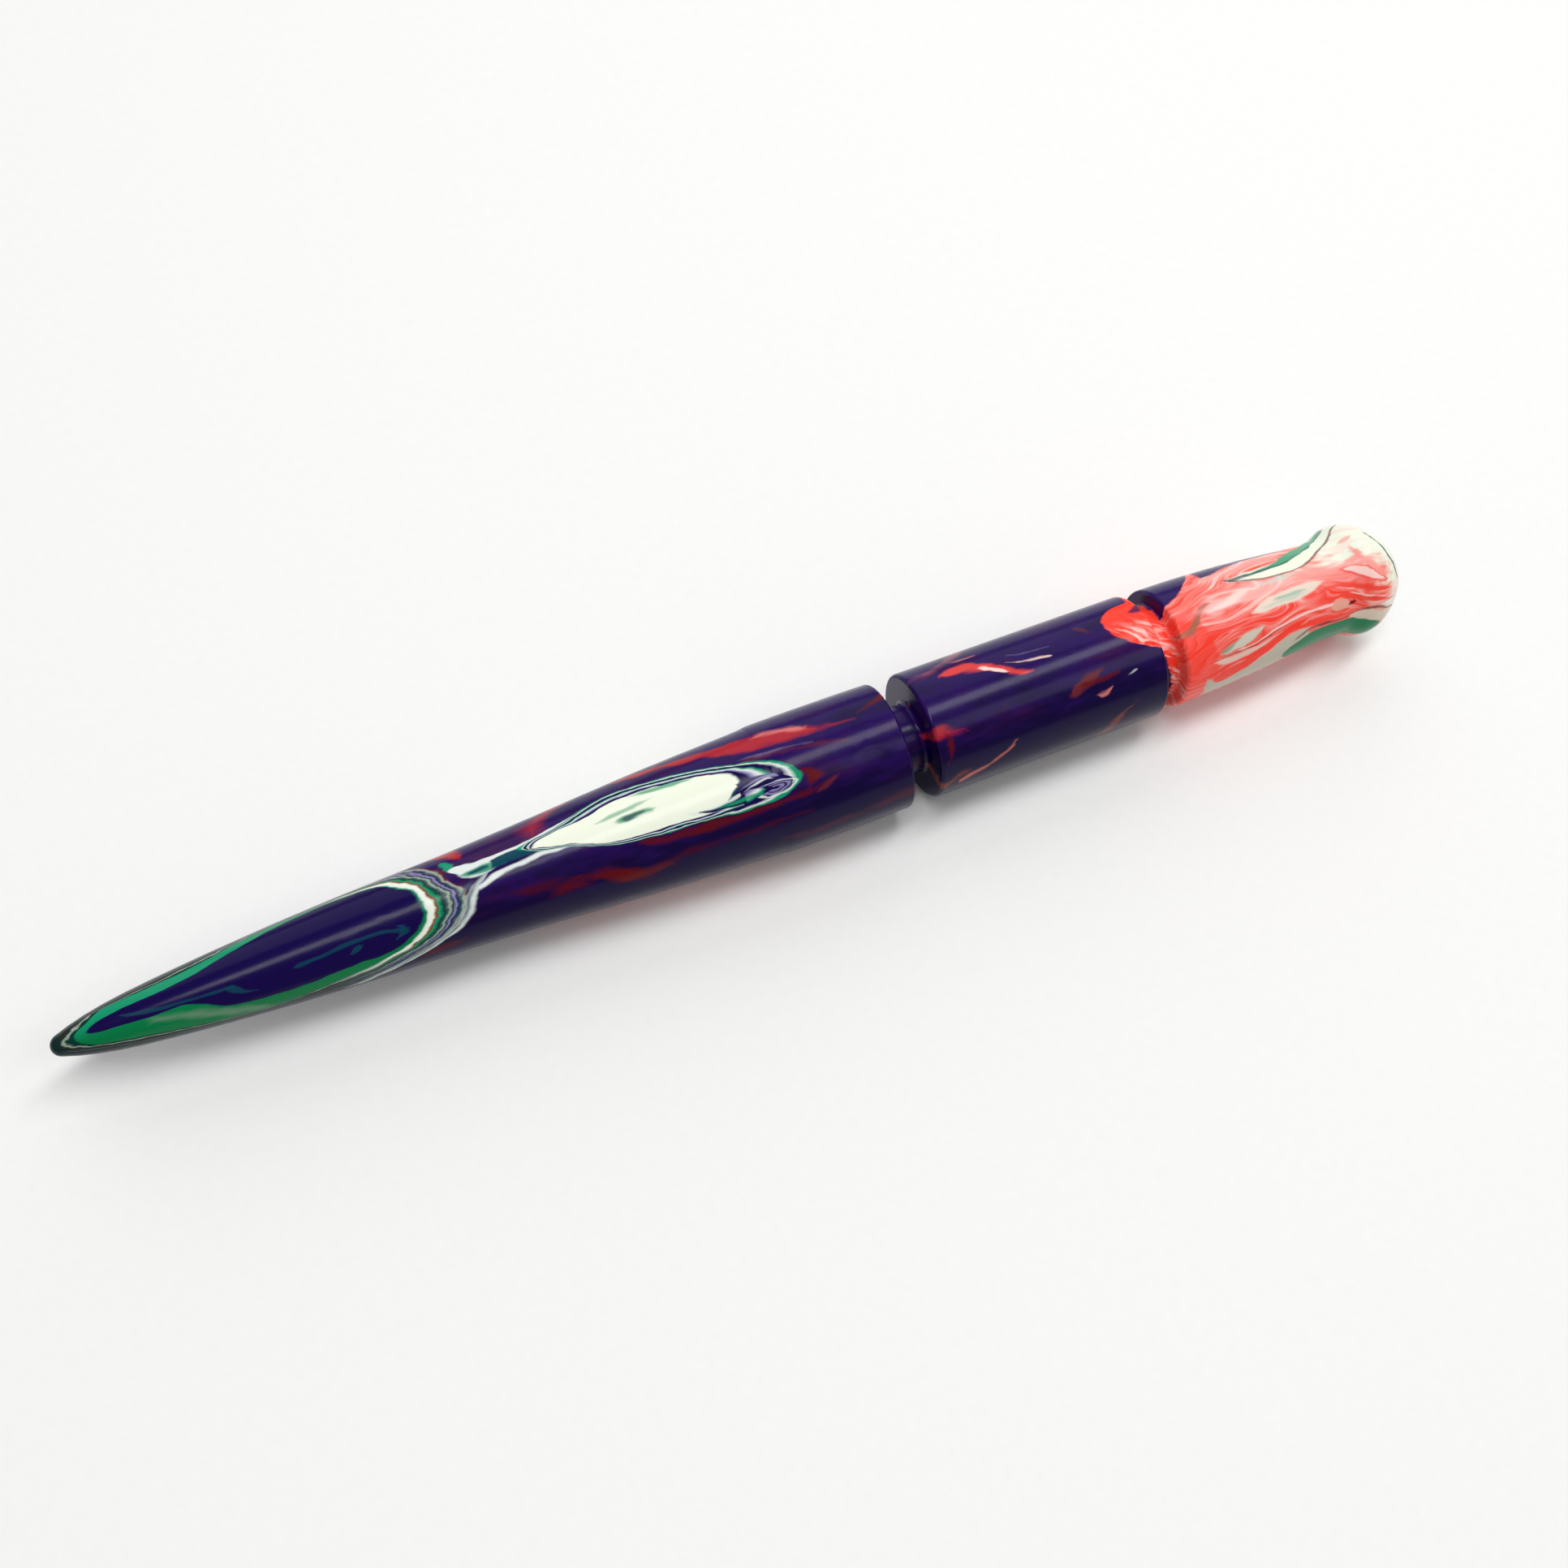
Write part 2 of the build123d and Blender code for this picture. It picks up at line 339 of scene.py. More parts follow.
def paint_leaf(resin):
    """The navy leaf over the rear of the tail, its green border, painted lighter on the lit top and darker
    towards the shaded underside, and the thin bands round both.
    """
    direction, distance = resin.polar(LEAF_CENTRE, LEAF_REACH)
    leaf = resin.outline(direction, LEAF_CENTRE, LEAF_REACH, LEAF_EDGE)
    green = resin.outline(direction, LEAF_CENTRE, LEAF_REACH, LEAF_GREEN)
    halo = resin.outline(direction, LEAF_CENTRE, LEAF_REACH, LEAF_HALO)
    depth = resin.way_out(distance, green, halo)
    streaks = resin.noise(resin.flow, 1.6, 3.0, 0.6)
    depth = resin.calc("ADD", depth, resin.spread(streaks, 0.25, 0.75, -0.06, 0.06))
    inside_halo = resin.within(halo, distance, LEAF_REACH)
    front = resin.spread(resin.station, *LEAF_BANDS_FADE_IN, 0.0, 1.0, "SMOOTHSTEP")
    bands = resin.blend(front, resin.ramp(depth, LEAF_REAR_BANDS), resin.ramp(depth, LEAF_BANDS))
    resin.paint(inside_halo, bands, 1.5)
    resin.paint(resin.calc("SUBTRACT", PAINTED_TIP, resin.x), TIP_GREEN, 1.2)
    inside_green = resin.within(green, distance, LEAF_REACH)
    # Painted light and shade: the green border is a darker green on the lower, shaded side and a lighter
    # teal on the lit top
    painted_light_share = resin.spread(resin.angle, -45, 20, 0.0, 1.0, "SMOOTHSTEP")
    resin.paint(inside_green, resin.blend(painted_light_share, GREEN, TEAL), 1.5)
    resin.line([(9, -38, 1), (12, -52, 6), (14, -64, 7), (16, -74, 7), (18.5, -83, 2)], GREY, 14, 0.32)
    resin.paint(resin.within(leaf, distance, LEAF_REACH), NAVY, 1.8)
    resin.line(
        [(6.3, -8, 0), (7, -13, 3), (8.5, -20, 3), (10.5, -25, 2.6), (13, -28, 2), (15.6, -30, 2),
         (16, -30, 0)],
        DARK_TEAL, 3, 0.75,
    )
    resin.steep_line(
        [(-48, 17.6, 0), (-44, 16.6, 0.5), (-36, 15.9, 0.5), (-29, 15.6, 0.3)],
        DARK_TEAL, 0.4, 0.75,
    )
    resin.line(
        [(21, -33, 0), (21.6, -32, 2), (24, -30, 2), (26.5, -28, 2), (28.5, -29, 2.6), (30, -33, 2.2),
         (31, -34, 0)],
        DARK_TEAL, 3, 0.75,
    )
    resin.steep_line(
        [(-43, 29.8, 0), (-37, 30.6, 0.3), (-30, 30.5, 0.3), (-27, 30, 0)],
        DARK_TEAL, 0.4, 0.75,
    )
    resin.line([(25.6, -41, 0), (26.2, -39, 3.5), (26.8, -36, 0)], DARK_TEAL, 3, 0.75)


TEARDROP_CENTRE, TEARDROP_REACH = (57, -6), (10.9, 27)
TEARDROP_CREAM = [
    (62.2, -7), (61.8, 0), (60.5, 4), (58.5, 9), (56.5, 11.5), (55, 15.5), (53, 17.3), (50.5, 17),
    (49, 14), (47, 12), (45, 10.5), (43.4, 6), (43, 3), (43.6, 0), (45, -4.5), (46.5, -8),
    (47.3, -12), (48.5, -17), (50, -21.5), (52, -24), (54.5, -26), (56.5, -28), (58.5, -28.5),
    (60, -26), (61, -20), (61.8, -13),
]
TEARDROP_BORDER = [
    (67.9, -20), (67.6, -13), (66.6, -7), (65, 0), (63, 6), (61, 12), (59, 17), (57, 21), (55, 25),
    (53, 27), (50.5, 27.5), (48.5, 24), (46.5, 18), (44.5, 13.5), (42.5, 9), (42.4, 3), (43.2, -3),
    (46, -10), (47, -14), (48.5, -20), (50, -25), (52, -28.5), (54, -31), (57, -33), (60, -34.5),
    (63, -35), (65.5, -34.5), (67, -31), (67.8, -26),
]
TEARDROP_BANDS = [
    (0.0, DARK_TEAL), (0.07, NAVY), (0.2, NAVY), (0.3, LILAC), (0.42, WHITE), (0.52, TEAL),
    (0.6, NAVY), (0.74, NAVY), (0.84, WHITE), (0.92, TEAL), (1.0, TEAL),
]
EYE_CENTRE, EYE_REACH = (65.3, -27.0), (2.0, 5.0)
EYE_RINGS = [(0.95, WHITE), (0.62, LILAC), (0.28, LILAC)]
EYE_RING_HALF_WIDTH = 0.09
EYE_ARC = (-150, 120)


def paint_teardrop(resin):
    """The cream teardrop on the upper side, ringed by thin lines that close in a small eddy."""
    resin.patch(
        [(39.3, -3), (41, -3), (43, -2), (45, 4), (48, 12)],
        [(39.3, 9), (41, 10), (43, 11), (45, 13.5), (48, 17)],
        DARK_TEAL, 3,
    )
    resin.line(
        [(37, 13, 1), (38.3, 10.5, 2.4), (40, 9.5, 2.2), (43, 11.5, 1.5), (45, 15, 2), (47, 18, 2.2),
         (49, 22, 2), (51, 24.5, 1)],
        WHITE, 2,
    )
    resin.line([(42, 7, 0), (42.6, 6, 2.5), (43.5, 6.5, 1.5), (46, 12, 1), (48, 15, 0)], TEAL, 2.5)
    resin.line(
        [(37.6, -19, 1), (38.5, -15.5, 3.6), (40, -11.5, 3), (42, -9, 2.3), (44, -8, 2.2),
         (46, -8.5, 1.6), (48, -9, 0)],
        WHITE, 3,
    )
    direction, distance = resin.polar(TEARDROP_CENTRE, TEARDROP_REACH)
    cream = resin.outline(direction, TEARDROP_CENTRE, TEARDROP_REACH, TEARDROP_CREAM)
    border = resin.outline(direction, TEARDROP_CENTRE, TEARDROP_REACH, TEARDROP_BORDER)
    depth = resin.way_out(distance, cream, border)
    inside_border = resin.within(border, distance, TEARDROP_REACH)
    resin.paint(inside_border, resin.ramp(depth, TEARDROP_BANDS), 1.0)
    resin.paint(resin.within(cream, distance, TEARDROP_REACH), CREAM, 1.0)
    resin.line([(49, 1, 0), (50.5, 2.5, 1.8), (52.5, 4.2, 2), (54, 5, 1), (54.8, 5.2, 0)], TEAL, 3, 0.6)
    resin.line(
        [(50.6, -5, 0), (51.5, -5, 2.6), (52.7, -5, 3.2), (53.7, -5, 2.4), (54.4, -5, 0)],
        TEAL, 4, 0.85,
    )
    resin.line([(51.3, -5, 0), (52, -5.5, 1.8), (53, -5.2, 1.8), (53.5, -5, 0)], SLATE, 3, 0.95)
    resin.line(
        [(52.5, 16, 0), (54, 14.5, 1.6), (56, 11, 2), (57.5, 9, 1.5), (58.5, 8, 0)],
        TEAL, 3, 0.8,
    )
    resin.patch(
        [(57, -22), (58.4, -27), (62, -30)],
        [(57, -20.5), (59, -22.5), (62, -20)],
        WHITE, 2, 0.9,
    )
    resin.patch(
        [(58, -24), (59.2, -28), (62.4, -30)],
        [(58, -22.5), (60, -24.5), (62.4, -22)],
        NAVY, 2, 1.0,
    )
    resin.line([(59.4, -25, 0), (61, -26, 1.2), (63.4, -27, 1), (64, -28, 0)], TEAL, 2, 0.9)
    resin.patch(
        [(61.9, -12), (62.8, -19), (64, -24), (65.4, -31), (66.4, -31), (67, -24)],
        [(61.9, -10), (62.8, -9), (64, -10), (65.4, -13), (66.4, -17), (67, -22)],
        NAVY, 2,
    )
    resin.line(
        [(61.8, -17.5, 0), (62.8, -15, 0.7), (64.0, -13.6, 1.2), (65.2, -15, 1.8), (66, -18, 0)],
        LILAC, 2, 0.9,
    )
    resin.line(
        [(62.4, -20, 0), (63.4, -17, 0.9), (64.6, -16.4, 1.1), (65.4, -18.5, 0)],
        WHITE, 1.5, 0.9,
    )
    resin.line(
        [(63.2, -21.5, 0), (64.4, -22.4, 1.2), (65.8, -22, 1.2), (66.8, -24.5, 0)],
        LILAC, 1.6, 0.85,
    )
    direction, distance = resin.polar(EYE_CENTRE, EYE_REACH)
    for ring, colour in EYE_RINGS:
        field = resin.calc("SUBTRACT", EYE_RING_HALF_WIDTH, resin.gap(distance, ring))
        resin.paint(resin.ended(field, direction, *EYE_ARC, 0.02), colour, 0.14, 0.85)


KNOT_CENTRE, KNOT_REACH = (37.8, 4), (2.0, 12)
KNOT_EDGE = [
    (40.2, 4), (40, 8), (38.8, 10.5), (37, 14.5), (35.7, 14), (36, 10), (36.4, 5), (36.7, 0),
    (37.6, -5), (39, -5), (39.9, 0),
]
WING = [
    (-98, 25, 0.8), (-85, 28.3, 0.8), (-75, 30.7, 0.65), (-65, 32.8, 0.6), (-57, 34.2, 0.6),
    (-45, 35.6, 0.6), (-35, 36.4, 0.5), (-25, 36.8, 0.45), (-15, 37.5, 0.4), (-7, 38.2, 0),
]
WING_VEINS = [(-1.0, DARK_TEAL), (-0.15, SLATE), (0.35, WHITE)]
VEIN_HALF_WIDTH = 0.14


def paint_knot(resin):
    """The white and green knot between the leaf and the teardrop, and the white wing below it."""
    resin.steep_line(WING, MIST, 0.5)
    for offset, colour in WING_VEINS:
        vein = [(angle, station + offset, VEIN_HALF_WIDTH) for angle, station, _ in WING]
        resin.steep_line(vein, colour, 0.35, 0.75)
    triangle = [(15, 35.6, 0), (20, 35.8, 0.5), (26, 35.5, 0.45), (35, 35.2, 0)]
    resin.steep_line(triangle, TEAL, 0.4)
    direction, distance = resin.polar(KNOT_CENTRE, KNOT_REACH)
    edge = resin.outline(direction, KNOT_CENTRE, KNOT_REACH, KNOT_EDGE)
    resin.paint(resin.calc("SUBTRACT", edge, distance), WHITE, 0.2)
    resin.patch(
        [(36.5, 3), (37.6, -3), (38.6, -4), (39.8, -2)],
        [(36.5, 4), (37.4, 5.5), (38.4, 5.5), (39.8, 2)],
        TEAL, 4, 0.9,
    )
    resin.patch([(37.2, 1), (38, -1), (39, 0)], [(37.2, 3), (38, 4), (39, 2.5)], DARK_TEAL, 3, 0.95)
    resin.patch([(39.8, -1), (40.4, -3), (41.2, 0)], [(39.8, 3), (40.4, 6), (41.2, 4)], TEAL, 3, 0.7)
    resin.patch([(41.8, 0), (42.6, -2), (43.4, 1)], [(41.8, 2), (42.6, 4), (43.4, 3)], TEAL, 4, 0.6)


def paint_tail_embers(resin):
    """The coral, red and brown flares in the purple of the tail."""
    resin.steep_line(
        [(25, 37, 0), (35, 36.5, 0.5), (45, 36.1, 0.8), (55, 35.5, 1), (75, 34, 0)],
        EMBER, 0.7, 0.95,
    )
    resin.steep_line(
        [(18, 43.6, 0), (28, 43.6, 0.6), (40, 44.5, 0.9), (50, 45.6, 1.0), (80, 47, 0)],
        EMBER, 2.4, 0.75,
    )
    resin.steep_line(
        [(-25, 34.2, 0), (-12, 34.6, 0.25), (5, 34.9, 0.35), (20, 34.7, 0.3), (32, 34, 0)],
        DARK_RED, 0.5, 0.9,
    )
    resin.line(
        [(51, 62, 0), (54, 48, 5), (57, 41, 4.5), (60, 33, 5), (62, 27, 6), (64.5, 22, 8), (67, 19, 8),
         (69, 16, 5), (71, 12.5, 2.5), (74.5, 8.5, 0)],
        EMBER, 6, 0.92,
    )
    resin.line([(65, 26, 0), (66.5, 25.5, 3), (68.5, 21.5, 3), (70, 17, 0)], PINK, 6, 0.5)
    resin.line([(60, -2, 0), (63, 6, 1), (66, 3, 1.6), (70, -2, 1.6), (73, -7, 0)], MAROON, 4, 0.55)
    resin.line([(63, 10, 0), (66, 5, 0.8), (69, 2, 0.6), (70, 1, 0)], LILAC, 3, 0.4)
    resin.steep_line(
        [(-34, 68.3, 0), (-27, 68.9, 0.8), (-21, 68.4, 0.5), (-16, 68, 0)],
        DARK_RED, 0.9, 0.95,
    )
    resin.line([(68.8, -40, 0), (69.8, -37, 1.8), (71.3, -32, 0)], MAROON, 3, 0.8)
    resin.line(
        [(52, -30, 0), (53.5, -34, 3), (56, -37.5, 3.6), (60, -38, 2.4), (66, -38, 2), (70, -36, 0)],
        DARK_RED, 5, 0.8,
    )
    resin.line(
        [(46.5, -46, 0), (48, -49, 4), (49.5, -56, 7), (51, -62, 6.5), (52.5, -64, 4), (54, -60, 0)],
        DARK_RED, 9, 0.95,
    )
    resin.line([(50, -60, 0), (55, -57, 2), (60, -54, 2), (68, -54, 0)], DARK_RED, 6, 0.5)
    resin.line([(43.5, -50, 0), (45.5, -51, 6), (47, -56, 0)], DARK_RED, 12, 0.7)
    resin.line([(40, -38, 0), (42.5, -40, 5), (45, -38, 0)], DARK_RED, 12, 0.4)
    resin.line([(31, -80, 0), (33, -76, 6), (35, -73, 0)], DARK_RED, 8, 0.6)
    resin.line([(65, -76, 0), (68, -79, 3), (72, -77, 2), (76, -74, 4), (80, -73, 4)], MAROON, 8, 0.35)
    resin.line([(75, 13, 0), (77, 17, 2), (78.2, 22, 3), (79, 26, 4)], DARK_RED, 4, 0.9)


# ---------------------------------------------------------------- the barrel

# The shore of the coral in the front groove: (angle, station) points all the way round
CORAL_SHORE = [
    (-180, 107.0), (-115, 107.6), (-97, 107.4), (-60, 106.8), (-35, 106.4), (-29, 105.9),
    (-24, 105), (-18, 104), (-12, 103), (-5, 102.1), (3, 101.5), (12, 101.2), (20, 101.5),
    (27, 102.2), (31, 103.3), (34, 105.2), (60, 105.3), (120, 106.2), (180, 107.0),
]


def paint_barrel(resin):
    """Coral wisps in the purple barrel, and the coral patch that runs into the front groove."""
    resin.line(
        [(84.2, 22, 0), (85.3, 21, 4.5), (87, 20.5, 5.5), (88.3, 15, 4.5), (89.5, 8, 4.5),
         (90.7, 0, 3.6), (91.6, -4, 2.5), (92.4, -6, 0)],
        WISP_RED, 5, 0.92,
    )
    resin.line([(87.8, 15, 0), (88.6, 11.5, 2.6), (89.4, 5.5, 2.6), (90.2, 1, 0)], PALE_PINK, 2.5, 0.95)
    resin.line(
        [(90.4, 11, 0), (91.5, 7.5, 0.5), (93, 4.5, 0.7), (94.3, 3, 0.8), (94.8, 2, 0)],
        PALE_PINK, 1.6, 0.75,
    )
    resin.line([(85.5, 35, 0), (86.5, 33.5, 0.8), (88, 33, 0.6), (88.4, 33, 0)], PINK, 2.5, 0.5)
    resin.line([(81, 28, 1), (83, 30, 1.5), (85, 37, 3), (87, 50, 7), (89, 66, 0)], PINK, 9, 0.2)
    resin.line([(91, 18, 0), (92.4, 14.5, 0.8), (95, 13, 0)], LILAC, 2, 0.3)
    resin.line([(98.3, 22, 0), (99, 17, 3), (99.7, 11, 0)], MAROON, 6, 0.6)
    resin.line([(80.8, -30, 4), (81.6, -30, 4), (82.6, -32, 3), (84, -33.5, 0)], EMBER, 6, 0.85)
    resin.steep_line(
        [(-58, 81.7, 0), (-48, 82.3, 0.2), (-38, 82.3, 0.3), (-30, 82, 0)],
        DARK_RED, 0.5, 0.9,
    )
    resin.line([(80.8, -86, 6), (81.6, -84, 5), (83, -76, 2), (83.8, -74, 0)], BROWN, 6, 0.7)
    resin.line(
        [(83, -86, 3), (84, -82, 2.4), (86, -76, 1.6), (87.5, -69, 2), (88.5, -63, 1.6), (89, -60, 0)],
        CLAY, 4, 0.8,
    )
    resin.line(
        [(95.2, -38, 0), (96, -34, 4.5), (97.2, -30, 4.5), (98.3, -28, 3), (99, -26, 0)],
        MAROON, 5, 0.95,
    )
    resin.line([(96.5, -32, 1), (98.5, -33, 2), (100.5, -33, 0)], DARK_RED, 4, 0.8)
    resin.line([(97.7, -46, 0), (98.4, -47.5, 1.8), (99, -46.5, 1.4), (99.5, -44, 0)], ROSE, 2.2, 0.9)
    resin.line([(101.4, -39, 0), (101.9, -37.5, 0.6), (102.4, -36, 0)], WHITE, 1.5, 0.6)
    resin.steep_line(
        [(-110, 98.6, 0), (-92, 99.3, 0.6), (-80, 100.1, 0.5), (-68, 102, 0)],
        BROWN, 0.9, 0.75,
    )
    inside = resin.calc("SUBTRACT", resin.station, resin.curve(resin.angle, CORAL_SHORE))
    arc = resin.calc("MULTIPLY", resin.angle, 1 / DEGREES_PER_MM)
    along_fibres = resin.calc("MULTIPLY", resin.calc("SUBTRACT", resin.station, arc), 0.2)
    across_fibres = resin.calc("ADD", resin.station, arc)
    fibres = resin.noise(resin.combine(along_fibres, across_fibres, 0.0), 1.3, 3.0, 0.55, 0.6)
    pale_fibres = resin.spread(fibres, 0.43, 0.66, 0.0, 0.8, "SMOOTHSTEP")
    near_side = resin.spread(resin.angle, -2, 14, 1.0, 0.0, "SMOOTHSTEP")
    pale = resin.calc("MULTIPLY", pale_fibres, near_side)
    resin.paint(inside, resin.blend(pale, BRIGHT_CORAL, PALE_PINK), 0.35)
    resin.patch([(104.2, 17), (105, 14), (106, 13)], [(104.2, 18), (105, 22), (106, 24)], PLUM, 4, 0.9)


# ---------------------------------------------------------------- the grip

GRIP_PAINT_START = 107.75
CREAM_START = 131.6
# How many degrees the threads of the grip have climbed at each station
THREAD_CLIMB = [(107.7, -18), (112, -9), (117, -1), (121, 2), (125, 0), (129, -9), (134, -20)]
THREAD_COLOURS = [
    (0.26, BRIGHT_CORAL), (0.40, CORAL), (0.46, PINK), (0.49, CORAL), (0.54, SALMON), (0.60, PINK),
    (0.63, PALE_PINK), (0.66, PINK), (0.72, PALE_PINK), (0.8, WHITE),
]


def paint_threads(resin):
    """The fine coral and pink threads under all else on the grip. Gives their noise."""
    climb = resin.curve(resin.x, THREAD_CLIMB)
    steeper = resin.spread(resin.around, -10, 45, 1.0, 3.0, "SMOOTHSTEP")
    lane = resin.calc("SUBTRACT", resin.around, resin.calc("MULTIPLY", climb, steeper))
    meander = resin.noise(resin.stretched(0.4), 0.26, 1.0, 0.5)
    lane = resin.calc("ADD", lane, resin.spread(meander, 0.3, 0.7, -18, 18))
    across = resin.calc("MULTIPLY", lane, 1 / DEGREES_PER_MM)
    along = resin.calc("MULTIPLY", resin.x, 0.07)
    threads = resin.noise(resin.combine(along, across, 0.0), 0.8, 1.6, 0.6, 0.15)
    pinks = resin.ramp(threads, THREAD_COLOURS)
    resin.paint(resin.calc("SUBTRACT", resin.station, GRIP_PAINT_START), pinks, 0.2)
    return threads


def paint_cream(resin, threads):
    """The cream of the flare, which reaches farther back on the upper side."""
    upper_reach = resin.spread(resin.angle, -22, 8, 0.0, 6.0, "SMOOTHSTEP")
    past_start = resin.calc("SUBTRACT", resin.calc("ADD", resin.station, upper_reach), CREAM_START)
    pink_share = resin.spread(threads, 0.46, 0.64, 0.0, 0.5, "SMOOTHSTEP")
    resin.paint(past_start, resin.blend(pink_share, CREAM, PALE_PINK), 5)


def paint_grip(resin):
    """Coral and pink flow lines, turning cream towards the flare, with green and purple lenses."""
    threads = paint_threads(resin)
    resin.patch(
        [(111, -9), (114, -14), (120, -14), (127, -12)],
        [(111, -4), (114, 6), (120, 6), (127, 4)],
        PALE_PINK, 16, 0.55,
    )
    resin.patch(
        [(111, 24), (114, 22), (119, 26), (124, 42)],
        [(111, 26), (114, 34), (119, 44), (124, 50)],
        PALE_PINK, 10, 0.4,
    )
    resin.patch(
        [(107.7, -110), (110.5, -100), (111.5, -60)],
        [(107.7, 2), (110.5, -20), (111.5, -50)],
        BRIGHT_CORAL, 10, 0.75,
    )
    resin.patch(
        [(115, -36), (122, -42), (129, -50)],
        [(115, -30), (122, -30), (129, -34)],
        BRIGHT_CORAL, 12, 0.35,
    )
    resin.patch(
        [(122, -10), (126, -22), (131.5, -36)],
        [(122, -4), (126, 6), (131.5, -8)],
        PINK, 12, 0.7,
    )
    paint_cream(resin, threads)
    resin.patch(
        [(107.6, 8), (109, 14), (110, 20), (111, 27), (112, 37), (113.4, 56)],
        [(107.6, 90), (109, 92), (110, 94), (111, 92), (112, 84), (113.4, 60)],
        PURPLE, 3, 1.0,
    )
    resin.patch(
        [(113.6, 33), (115, 33.5), (116, 37), (117, 41), (119, 45), (122, 49), (125, 56)],
        [(113.6, 50), (115, 70), (116, 76), (117, 80), (119, 80), (122, 74), (125, 60)],
        PURPLE, 4, 1.0,
    )
    resin.patch(
        [(115.5, 14), (117, 10), (119, 6.5), (121, 5), (123, 6.5), (125, 13), (127, 24), (129, 38),
         (131.5, 54)],
        [(115.5, 18), (117, 20), (119, 21), (121, 24), (123, 30), (125, 38), (127, 50), (129, 62),
         (131.5, 66)],
        CREAM, 2, 0.95,
    )
    resin.patch(
        [(117.5, 15.5), (120, 16.5), (122, 19), (124, 24), (126, 33), (128, 47), (130, 62)],
        [(117.5, 17.5), (120, 20.5), (122, 27), (124, 36), (126, 46), (128, 60), (130, 70)],
        JADE, 3, 0.95,
    )
    resin.line(
        [(115.2, 17.5, 0), (116, 16, 2), (117.5, 16, 1.8), (120, 17.5, 1.2), (122, 20, 1),
         (124, 25, 1), (126, 34, 1), (128, 48, 1), (130, 60, 1)],
        SLATE, 2.5, 0.85,
    )
    resin.line(
        [(115.6, 15, 1), (117, 11, 1), (119, 7, 1), (121, 5, 1), (123, 6.5, 1), (125, 13, 1.2),
         (127, 24, 1.4), (129, 38, 1.4), (131.5, 54, 1)],
        MAROON, 2.2, 0.8,
    )
    resin.line([(118, 3, 0), (120.5, 0, 3), (123, 2, 0)], PALE_GREEN, 4, 0.7)
    resin.line([(111.8, -9, 0), (113.5, -7, 2.6), (115.5, -2, 3.5), (117, 1, 0)], PALE_PINK, 5, 0.95)
    resin.line(
        [(116.2, -25, 0), (118, -22, 6), (120.5, -20, 8), (123, -18, 6.5), (125.3, -16, 0)],
        IVORY, 4, 0.95,
    )
    resin.line([(118.6, -21, 0), (119.8, -19, 1.6), (121, -18.5, 1.4), (122.6, -19, 0)], SAGE, 4, 0.85)
    resin.line([(117.5, -23.5, 0), (120, -23, 2.4), (123, -21.5, 0)], PALE_SAGE, 4, 0.8)
    resin.line(
        [(111.6, -52, 0), (113, -49, 4), (114.6, -45.5, 5), (116.4, -41, 2.6), (117, -39, 0)],
        STONE, 3, 0.95,
    )
    resin.line(
        [(111.5, -50, 0), (112.4, -48.5, 2.6), (113.4, -45, 1.8), (114.4, -41, 0)],
        OLIVE, 3, 0.8,
    )
    resin.line(
        [(107.8, -22, 2), (109, -21, 4), (109.8, -16, 4.5), (110.6, -10, 2.4), (111, -8, 0)],
        TAN, 4, 0.85,
    )
    resin.line([(110.6, -5, 0), (111.5, -3, 2.4), (112.2, -1, 0)], BRICK, 4, 0.8)
    resin.line(
        [(110.4, -57, 0), (112, -56, 1), (115, -55, 1.2), (117.5, -51, 1), (120, -47, 0)],
        MAROON, 2.5, 0.6,
    )
    resin.line([(110.8, -58, 0), (113, -61, 3.6), (116, -59.5, 2.6), (119, -53, 0)], SHELL, 4, 0.85)
    resin.line(
        [(112, -55, 0), (115, -53.5, 0.8), (118, -48, 1.2), (121, -45, 1.3), (125.4, -46, 1.2),
         (126, -47, 0)],
        PALE_PINK, 1.8, 0.9,
    )
    resin.patch(
        [(110.2, -104), (113, -102), (117, -102), (121, -92), (122.5, -70)],
        [(110, -74), (113, -82), (117, -70), (121, -60), (122.5, -62)],
        SAND, 4, 0.95,
    )
    resin.line(
        [(111, -78, 0), (112.4, -78, 7), (114.5, -73, 5), (117, -65, 5), (119, -58, 4), (121, -55, 4),
         (123, -57, 5), (125, -62, 4), (127, -64, 2), (129, -62, 0)],
        BRIGHT_CORAL, 3, 0.95,
    )
    resin.line([(121.4, -55, 0), (123, -52, 1), (124.6, -53, 1), (126, -62, 0)], PINK, 2, 0.8)
    resin.patch(
        [(119.6, -90), (121, -100), (125, -106), (129, -110), (132.6, -112)],
        [(119.6, -84), (121, -75.5), (123, -70.5), (126, -72), (128.2, -76), (130, -81), (132.6, -100)],
        EMERALD, 3, 1.0,
    )
    resin.line(
        [(120.6, -71, 0), (121.8, -67, 1.6), (123, -64.5, 1.2), (124.6, -67, 1.4), (126.5, -70, 1.2),
         (128.4, -66, 1), (130, -64, 1), (131.6, -68, 1), (133, -79, 1.2), (134.4, -96, 1)],
        MAROON, 2.4, 0.8,
    )
    resin.patch(
        [(127.6, -74), (129, -79), (131, -82), (132.6, -90), (134.6, -112)],
        [(127.6, -69), (129, -66), (131, -68), (132.6, -78), (134.6, -96)],
        WHEAT, 3, 0.9,
    )


